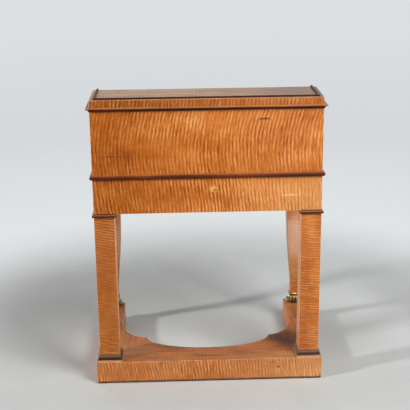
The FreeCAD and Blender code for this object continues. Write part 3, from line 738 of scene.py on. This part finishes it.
def pasted_sheet(low, high):
    """A sheet let into the top, a hair below it at its edges and very slightly uneven."""
    def build(shape):
        rows = []
        for row in range(SHEET_STEPS_Y + 1):
            line = []
            for column in range(SHEET_STEPS_X + 1):
                share_x, share_y = column / SHEET_STEPS_X, row / SHEET_STEPS_Y
                margin = min(share_x, 1 - share_x, share_y, 1 - share_y)
                sag = EDGE_SAG * (1 - min(1, margin * SAG_STEEPNESS)) ** 2
                wave_x = math.sin(WAVES_X[0] * share_x + WAVES_X[1] * share_y)
                wave = SHEET_WAVE * wave_x * math.sin(WAVES_Y[0] * share_y + WAVES_Y[1])
                x = low.x + share_x * (high.x - low.x)
                y = low.y + share_y * (high.y - low.y)
                line.append(shape.verts.new((x, y, high.z - SHEET_DROP - sag + wave)))
            rows.append(line)
        for near, far in zip(rows, rows[1:]):
            for column in range(SHEET_STEPS_X):
                shape.faces.new((near[column], near[column + 1], far[column + 1], far[column]))
        right_edge = [line[-1] for line in rows[:-1]]
        left_edge = [line[0] for line in rows[:0:-1]]
        rim = rows[0][:-1] + right_edge + rows[-1][:0:-1] + left_edge
        under_rim = [shape.verts.new((vert.co.x, vert.co.y, low.z)) for vert in rim]
        for number, vert in enumerate(rim):
            after = (number + 1) % len(rim)
            shape.faces.new((rim[after], vert, under_rim[number], under_rim[after]))
        shape.faces.new(reversed(under_rim))
    return build


leather_low, leather_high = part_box("writing_leather")
leather = mesh_piece("pasted_leather", pasted_sheet(leather_low, leather_high),
                     tooled_leather("brown_goatskin"), "carcass")
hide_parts("writing_leather")


def line_round(low, high, facing, width, proud):
    """Building function for a thin line round a rectangle, a hair proud of the face it is let into.

    low and high are opposite corners on that face, and facing is its outward normal.
    """
    def build(shape):
        flat = [axis for axis in range(3) if facing[axis] == 0]
        first, second = flat
        corners = [(low[first], low[second]), (high[first], low[second]),
                   (high[first], high[second]), (low[first], high[second])]
        inward = [(1, 1), (-1, 1), (-1, -1), (1, -1)]

        def loop(inset, lift):
            points = []
            for corner, way in zip(corners, inward):
                point = Vector(low) + Vector(facing) * lift
                for axis, start, sign in zip(flat, corner, way):
                    point[axis] = start + sign * inset
                points.append(shape.verts.new(point))
            return points
        sunk, shoulder = -4 * proud, 0.6 * proud
        loops = [loop(0, sunk), loop(0, shoulder), loop(width * 0.25, proud), loop(width * 0.75, proud),
                 loop(width, shoulder), loop(width, sunk)]
        for number, ring in enumerate(loops):
            following = loops[(number + 1) % len(loops)]
            for corner in range(len(corners)):
                after = (corner + 1) % len(corners)
                shape.faces.new((ring[corner], ring[after], following[after], following[corner]))
    return build


TOOLED_LEAF = gilt_metal("tooled_gold_leaf", rubbed=0.12)
TOOLING_PROUD = 0.00008
TOOLING_LINES = (dict(inset=0.012, width=0.0022), dict(inset=0.0165, width=0.0009))
leather_corner = Vector((leather_low.x, leather_low.y, leather_high.z))
for number, line in enumerate(TOOLING_LINES, start=1):
    step_in = Vector((line["inset"], line["inset"], 0))
    build_line = line_round(leather_corner + step_in, leather_high - step_in, UPWARD, line["width"],
                            TOOLING_PROUD)
    mesh_piece(f"leather_tooling_{number}", build_line, TOOLED_LEAF, "carcass")

# Gradin: the step on the writing top. A back panel, two sides and two partitions stand on the top
# and hold shelves between the drawers; the middle stays an open niche. Curly maple, level grain.
# The fourth mark is painted shade towards one end and the last is painted sheen towards the other.
gradin_stains_and_painted_light = [mark((-0.189, BODY_BACK, 0.931), (0.015, 0.02, 0.0034), tint(92, 44, 14), 0.9),
                 mark((-0.176, BODY_BACK, 0.9305), (0.0055, 0.02, 0.0038), tint(100, 48, 16), 0.9),
                 mark((0.310, BODY_BACK, 0.8125), (0.042, 0.02, 0.0018), tint(128, 62, 18), 0.7),
                 darker((0.4, BODY_BACK, 0.85), (0.24, 0.05, 0.24), 0.9),
                 mark((-0.4, BODY_BACK, 0.85), (0.24, 0.05, 0.2), tint(190, 128, 94), 0.1, **SOFT_WIDE_EDGE)]
gradin_back = curly_maple("gradin_back_maple", 53, bow=1.15, bow_level=0.825, marks=gradin_stains_and_painted_light)
dress("gradin_back_panel", gradin_back, MAPLE_EDGE, BOARD_EDGE)
GRADIN_BOARDS = ("left_side", "right_side", "left_partition", "right_partition",
                 "left_shelf", "right_shelf")
for seed, board in enumerate(GRADIN_BOARDS, start=24):
    plain_board(f"gradin_{board}", seed)

# Attic, cornice and rim: a maple board closes the gradin, its top dull. Painted shade darkens its top
# towards one end and its back towards the other. A dark cornice is mitred round its foot and a low
# dark bead stands on its top, open towards the front.
ATTIC_TOP = 1.0
ATTIC_EDGE = worn_edge("rubbed_attic_edge", tint(150, 92, 48), tint(206, 156, 110))
# The first and last marks are painted shade; the second is a dark strip outside the bead at one end.
attic_shade_and_marks = [mark((-0.4, 0.12, ATTIC_TOP), (0.24, 0.2, 0.02), tint(104, 74, 52), 0.75,
                     blur=0.85, ragged=0.4, facing=UPWARD),
                mark((-0.376, 0.17, ATTIC_TOP), (0.012, 0.12, 0.02), tint(92, 68, 52), 0.6,
                     blur=0.5, ragged=0.3, facing=UPWARD),
                darker((0.4, BODY_BACK, 0.98), (0.3, 0.03, 0.04), 0.6)]
attic_maple = curly_maple("attic_maple", 31, tone=0.72, lean=0.12, figure=0.78, upper=tint(158, 120, 89),
                          marks=attic_shade_and_marks)
dress("gradin_attic", attic_maple, ATTIC_EDGE, BOARD_EDGE)
cornice_wood = dark_wood("cornice_wood", 32, paler_faces=tint(164, 110, 70))
dress_strips("cornice_moulding", cornice_wood, DARK_EDGE, MOULDING_EDGE)
dress_strips("attic_rim", dark_wood("rim_wood", 33, tone=0.45), DARK_EDGE, MOULDING_EDGE)

# Drawers: maple fronts with a thin dark line let into them, oak sides, back and bottom, and turned
# gilt knobs screwed through the fronts. All five slide on wood.
KNOB_GILT = gilt_metal("handled_gilt", rubbed=0.08)
KNOB_POINTS = 40
KNOB_PROFILE = ((0.0, 0.62), (0.04, 0.64), (0.10, 0.62), (0.14, 0.54), (0.17, 0.42),
                (0.30, 0.36), (0.44, 0.38), (0.54, 0.47), (0.60, 0.62), (0.63, 0.80),
                (0.66, 0.94), (0.71, 1.0), (0.77, 0.99), (0.82, 0.93), (0.85, 0.88),
                (0.87, 0.87), (0.90, 0.82), (0.95, 0.62), (0.985, 0.34), (1.0, 0.08))


def turned_knob(shape, low, high):
    """A knob turned about Y within a box: a rose, a drawn neck and a domed head.

    Each step of its profile is how far out it lies and how wide it is, as shares of the knob.
    """
    centre = (low + high) / 2
    length = high.y - low.y
    radius = (high.x - low.x) / 2
    rings = []
    for out, wide in KNOB_PROFILE:
        ring = []
        for number in range(KNOB_POINTS):
            angle = 2 * math.pi * number / KNOB_POINTS
            ring.append((centre.x + radius * wide * math.cos(angle), high.y - out * length,
                         centre.z + radius * wide * math.sin(angle)))
        rings.append(ring)
    skin(shape, rings)


LINE_WOOD = dark_wood("line_wood", 34)
LINE_PROUD = 0.0001
FORWARD = (0, -1, 0)


def drawer_front(body, seed, line_inset, line_width):
    """Finish a drawer's front and let its dark line in."""
    node = f"{body}_front"
    plain_board(node, seed)
    low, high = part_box(node)
    step_in = Vector((line_inset, 0, line_inset))
    far = Vector((high.x, low.y, high.z))
    build_line = line_round(low + step_in, far - step_in, FORWARD, line_width, LINE_PROUD)
    mesh_piece(f"{body}_line", build_line, LINE_WOOD, body)


drawer_front("frieze_drawer", 35, line_inset=0.011, line_width=0.003)
for part in ("left_side", "right_side", "back", "bottom"):
    dress(f"frieze_drawer_{part}", OAK, OAK_EDGE, BOARD_EDGE / 2)


def frieze_knobs(shape):
    """Building function for the frieze drawer's two knobs, one at each end of their CAD box."""
    low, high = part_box("frieze_drawer_knobs")
    size = high.z - low.z
    turned_knob(shape, low, Vector((low.x + size, high.y, high.z)))
    turned_knob(shape, Vector((high.x - size, low.y, low.z)), high)


frieze_pair = mesh_piece("frieze_turned_knobs", frieze_knobs, KNOB_GILT, "frieze_drawer")
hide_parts("frieze_drawer_knobs")

SMALL_DRAWERS = ("lower_left_drawer", "lower_right_drawer", "upper_left_drawer", "upper_right_drawer")
for seed, drawer in enumerate(SMALL_DRAWERS, start=36):
    drawer_front(drawer, seed, line_inset=0.008, line_width=0.0025)
    dress_strips(f"{drawer}_case", OAK, OAK_EDGE, BOARD_EDGE / 2, drawer)
    dress(f"{drawer}_bottom", OAK, OAK_EDGE, BOARD_EDGE / 2)
    knob_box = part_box(f"{drawer}_knob")
    knob = mesh_piece(f"{drawer}_turned_knob", lambda shape: turned_knob(shape, *knob_box), KNOB_GILT,
                      drawer)
    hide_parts(f"{drawer}_knob")

# Floor: a matt, pale grey studio floor that runs into a paler backdrop far away. It is toned a little
# darker behind the desk and in two patches at its sides, for soft shade that the lamps don't cast.
BACKDROP = tint(219, 223, 226)
BACKDROP_TONES = ((0.12, tint(226, 230, 231)), (0.3, tint(212, 216, 219)), (0.8, BACKDROP))
BACKDROP_DEPTH = 12
FLOOR_REACH = 40
FLOOR_TONES = ((0.3, tint(206, 209, 208)), (0.7, tint(213, 216, 215)))
SHADED_GREY, FAR_GREY = tint(176, 178, 176), tint(110, 111, 110)
SHADED_SHARE, SHADED_BEHIND = 0.85, 0.55
SHADED_PATCHES = (dict(centre=(0.62, -0.2, 0), stretch=(2.6, 1.5, 0), share=1.0),
                  dict(centre=(-0.36, -0.12, 0), stretch=(2.2, 2.5, 0), share=0.85))


def studio_floor():
    """A matt grey floor that fades with distance into the backdrop's own colour."""
    finish = Finish("studio_floor_grey")
    depth = finish.parts(finish.place)[1]
    distance = finish.node("VectorMath", [finish.place], "Value", operation="LENGTH")
    near = finish.ramp(finish.mottle(6, detail=4.0), *FLOOR_TONES)
    shaded = finish.times(finish.step(depth, none=-0.15, full=0.4), SHADED_BEHIND)
    for patch in SHADED_PATCHES:
        cover = finish.step(finish.reach(patch["centre"], patch["stretch"]), none=1.1, full=0.2)
        shaded = finish.maths("MAXIMUM", shaded, finish.times(cover, patch["share"]))
    near = finish.mix(finish.times(shaded, SHADED_SHARE), near, SHADED_GREY)
    finish.lay("Base Color", finish.mix(finish.step(distance, none=1.4, full=2.4), near, FAR_GREY))
    finish.keep("Roughness", 0.6)
    far = finish.step(distance, none=0.9, full=1.75)
    backdrop = finish.ramp(finish.maths("DIVIDE", distance, BACKDROP_DEPTH), *BACKDROP_TONES)
    before = finish.step(depth, none=0.6, full=-0.6)
    glossy, through = (finish.node("LightPath", [], f"Is {ray} Ray") for ray in ("Glossy", "Transmission"))
    mirrored = finish.times(finish.maths("MAXIMUM", glossy, through), before)
    seen = finish.maths("MAXIMUM", finish.node("LightPath", [], "Is Camera Ray"), mirrored)
    glow = finish.node("Emission", [backdrop, 1.0])
    output = finish.tree.nodes["Material Output"].inputs["Surface"]
    surface = output.links[0].from_socket
    shown = finish.node("MixShader", [finish.times(far, seen), surface, glow])
    finish.tree.links.new(shown, output)
    return finish.material


floor_corners = [(-FLOOR_REACH, -FLOOR_REACH, 0), (FLOOR_REACH, -FLOOR_REACH, 0),
                 (FLOOR_REACH, FLOOR_REACH, 0), (-FLOOR_REACH, FLOOR_REACH, 0)]
floor_mesh = bpy.data.meshes.new("studio_floor")
floor_mesh.from_pydata(floor_corners, [], [(0, 1, 2, 3)])
floor_mesh.materials.append(studio_floor())
floor = bpy.data.objects.new("studio_floor", floor_mesh)
bpy.context.scene.collection.objects.link(floor)

# Light: a soft key lamp high behind the desk towards its left, and a small far one on the other side.
# Weak lamps overhead, low in front and low behind open the shadows, in a weak even surround that
# shows the backdrop's colour where it is seen.
SURROUND_STRENGTH = 0.08
world = bpy.data.worlds.new("studio_surround")
bpy.context.scene.world = world
world.use_nodes = True
surround = world.node_tree
light_path = surround.nodes.new("ShaderNodeLightPath")
seen_surround = surround.nodes.new("ShaderNodeBackground")
seen_surround.inputs["Color"].default_value = BACKDROP
lit = surround.nodes["Background"]
lit.inputs["Color"].default_value = (1, 1, 1, 1)
lit.inputs["Strength"].default_value = SURROUND_STRENGTH
seen = light_path.outputs["Is Camera Ray"]
for ray in ("Is Glossy Ray", "Is Transmission Ray"):
    either = surround.nodes.new("ShaderNodeMath")
    either.operation = "MAXIMUM"
    surround.links.new(seen, either.inputs[0])
    surround.links.new(light_path.outputs[ray], either.inputs[1])
    seen = either.outputs[0]
choose = surround.nodes.new("ShaderNodeMixShader")
surround.links.new(seen, choose.inputs[0])
surround.links.new(lit.outputs[0], choose.inputs[1])
surround.links.new(seen_surround.outputs[0], choose.inputs[2])
surround.links.new(choose.outputs[0], surround.nodes["World Output"].inputs["Surface"])

DESK_MIDDLE = Vector((0, 0, 0.55))


def soft_lamp(name, place, width, height, power):
    """Hang a flat soft lamp that faces the middle of the desk; sizes in metres, power in watts."""
    lamp = bpy.data.lights.new(name, "AREA")
    lamp.shape = "RECTANGLE"
    lamp.size = width
    lamp.size_y = height
    lamp.energy = power
    holder = bpy.data.objects.new(name, lamp)
    holder.location = place
    holder.rotation_euler = (DESK_MIDDLE - Vector(place)).to_track_quat("-Z", "Y").to_euler()
    holder.visible_camera = False
    bpy.context.scene.collection.objects.link(holder)


soft_lamp("key_lamp", (-1.35, 1.75, 2.6), width=1.2, height=1.2, power=81)
soft_lamp("side_lamp", (5.35, 2.25, 3.3), width=0.5, height=0.5, power=230)
soft_lamp("overhead_lamp", (-0.2, -1.4, 4.6), width=2.5, height=2.5, power=14)
soft_lamp("front_lamp", (2.6, -2.4, 0.55), width=1.8, height=0.8, power=42)
soft_lamp("low_lamp", (-0.7, 3.6, 0.75), width=1.2, height=0.5, power=8)

# Camera: behind the desk and above it, where the photograph was taken, with its long lens. Its lens
# is given in pixels of the picture, and its optical axis stands one pixel off the middle.
PICTURE_SIDE = 410
SENSOR = 36.0
FOCAL_PIXELS = 968.16
AXIS_PIXEL = 204.0
CAMERA_PLACE = (0.1112, 3.3315, 1.5885)
PITCH, YAW, ROLL = math.radians(17.11), math.radians(1.827), math.radians(-0.648)
camera_data = bpy.data.cameras.new("photograph_camera")
camera_data.sensor_width = SENSOR
camera_data.lens = FOCAL_PIXELS * SENSOR / PICTURE_SIDE
camera_data.shift_x = (PICTURE_SIDE / 2 - AXIS_PIXEL) / PICTURE_SIDE
camera = bpy.data.objects.new("photograph_camera", camera_data)
forward = Vector((-math.sin(YAW) * math.cos(PITCH), -math.cos(YAW) * math.cos(PITCH), -math.sin(PITCH)))
level_right = Vector((-math.cos(YAW), math.sin(YAW), 0))
level_up = level_right.cross(forward)
right = math.cos(ROLL) * level_right + math.sin(ROLL) * level_up
up = math.cos(ROLL) * level_up - math.sin(ROLL) * level_right
camera.matrix_world = Matrix((right, up, -forward)).transposed().to_4x4()
camera.location = CAMERA_PLACE
bpy.context.scene.collection.objects.link(camera)
bpy.context.scene.camera = camera
bpy.context.scene.view_settings.view_transform = "Standard"
